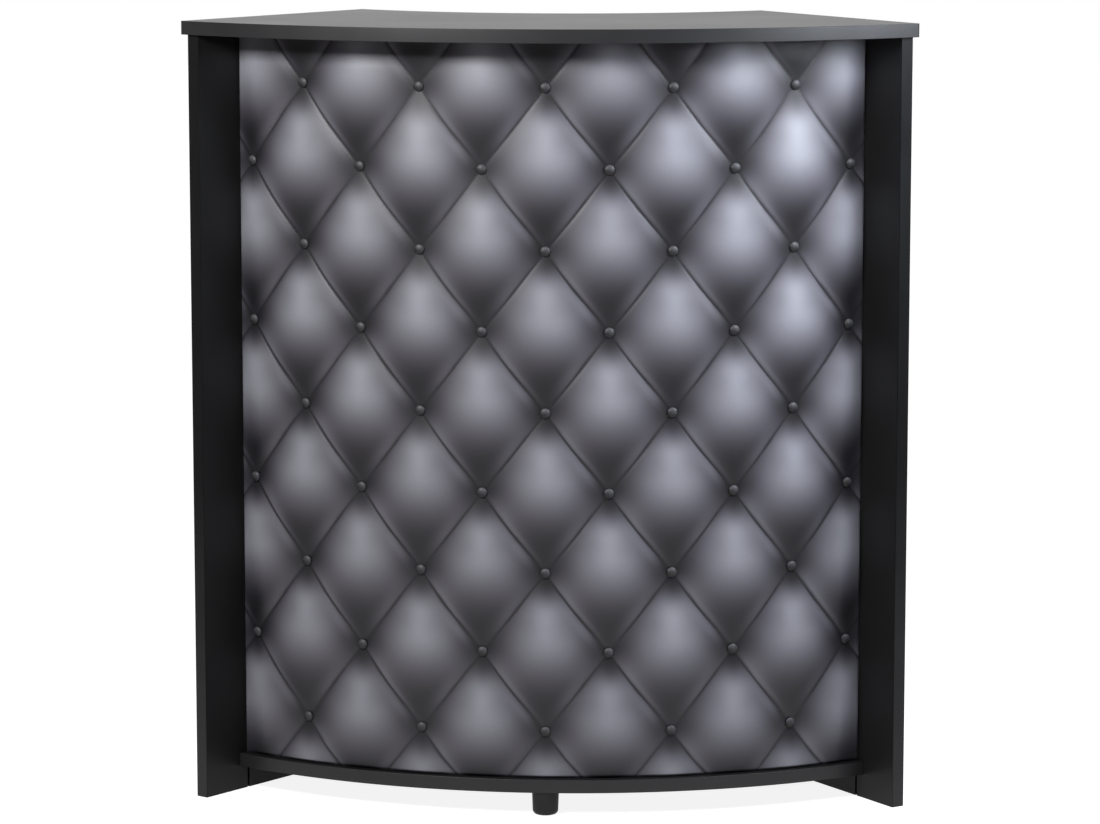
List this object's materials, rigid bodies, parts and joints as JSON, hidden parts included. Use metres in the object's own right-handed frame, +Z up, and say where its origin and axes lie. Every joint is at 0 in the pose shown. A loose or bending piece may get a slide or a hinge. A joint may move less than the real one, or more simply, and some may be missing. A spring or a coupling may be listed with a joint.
{
  "type": "curved bar counter",
  "caption": "Curved bar counter, a ring segment with a diamond-tufted front set back under the top, closed sides, an open back with shelves and a screw-in front foot.",
  "frame": {"origin": "on the floor, under the centre of the counter's plan box", "axes": "+Z up, the tufted front faces -Y, +X to the right as seen from the front"},
  "size_m": [0.967, 0.4452, 1.045],
  "materials": {
    "black_board": "black melamine on chipboard, fine dead-matt texture",
    "black_edging": "black plastic edging, satin",
    "bent_fibreboard": "hardboard with a dark-brown lacquer, smooth face in the bays",
    "tufted_leatherette": "soft-sheen grey leatherette, diamond tufted",
    "covered_button": "leatherette-covered button, soft sheen",
    "zinc_cam": "die-cast zinc, dull",
    "plated_steel": "zinc-plated steel",
    "black_cap": "black plastic cap, matt",
    "beech_dowel": "bare beech, fluted",
    "brass_insert": "plain brass",
    "black_foot_plastic": "moulded black plastic, fine satin texture"
  },
  "bodies": {
    "cabinet": {"top_board": "black_board", "top_long_bands": "black_edging", "top_end_bands": "black_edging", "left_side_panel": "black_board", "right_side_panel": "black_board", "left_side_bands": "black_edging", "right_side_bands": "black_edging", "bottom_board": "black_board", "bottom_bands": "black_edging", "lower_shelf": "black_board", "upper_shelf": "black_board", "lower_shelf_band": "black_edging", "upper_shelf_band": "black_edging", "front_shell": "bent_fibreboard", "tufted_skin": "tufted_leatherette", "tuft_buttons": "covered_button", "cam_locks": "zinc_cam", "cam_bolts": "plated_steel", "cam_caps": "black_cap", "dowels": "beech_dowel", "foot_insert": "brass_insert"},
    "foot_screw": {"foot_stud": "plated_steel"},
    "foot": {"foot_body": "black_foot_plastic"}
  },
  "joints": [
    {"name": "foot_travel", "type": "slide", "parent": "cabinet", "child": "foot_screw", "axis": [0, 0, -1], "range_m": [0, 0.005]},
    {"name": "foot_turn", "type": "hinge", "parent": "foot_screw", "child": "foot", "pos_m": [0, -0.1306, 0], "axis": [0, 0, -1], "range_deg": [0, 1440]}
  ],
  "couplings": [
    {"joint": "foot_travel", "follows": "foot_turn", "m_per_rad": 0.0001989}
  ]
}
